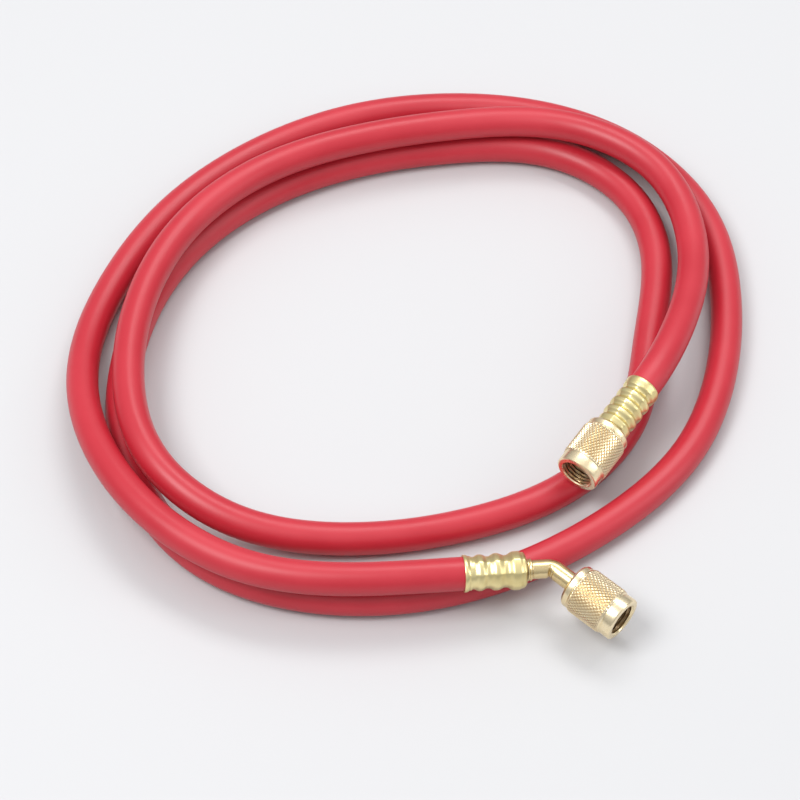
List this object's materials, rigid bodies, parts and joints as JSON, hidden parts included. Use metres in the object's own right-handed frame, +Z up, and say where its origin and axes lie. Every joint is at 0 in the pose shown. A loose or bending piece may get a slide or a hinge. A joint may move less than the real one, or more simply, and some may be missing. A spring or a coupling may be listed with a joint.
{
  "type": "refrigerant charging hose",
  "caption": "Rubber hose laid in a loose coil, with a knurled swivel flare nut at each end and a bent tube at one of them.",
  "frame": {"origin": "centre of the bounding box's underside, on the floor that the coil lies on", "axes": "+Z up; +X the way that the nut of the bent end points, within 3 degrees seen from above; the other nut points along -Y, within 3 degrees"},
  "size_m": [0.2404, 0.2527, 0.0289],
  "materials": {
    "hose_rubber": "smooth red rubber cover, satin",
    "ferrule_brass": "pale plated brass, crimped",
    "stem_brass": "plain brass",
    "nut_brass": "polished brass with a fine knurl",
    "gasket_rubber": "soft teal rubber"
  },
  "bodies": {
    "hose": {"hose": "hose_rubber", "ferrule_straight": "ferrule_brass", "ferrule_bent": "ferrule_brass", "stem_straight": "stem_brass", "stem_bent": "stem_brass", "gasket_bent": "gasket_rubber"},
    "straight_nut": {"nut_straight": "nut_brass"},
    "bent_nut": {"nut_bent": "nut_brass"}
  },
  "joints": [
    {"name": "straight_nut_spin", "type": "hinge", "parent": "hose", "child": "straight_nut", "pos_m": [0.07476, -0.00247, 0.02074], "axis": [0.0485, -0.9924, -0.1132], "continuous": true},
    {"name": "bent_nut_spin", "type": "hinge", "parent": "hose", "child": "bent_nut", "pos_m": [0.09965, -0.05622, 0.01463], "axis": [0.9963, -0.0505, -0.0698], "continuous": true}
  ]
}
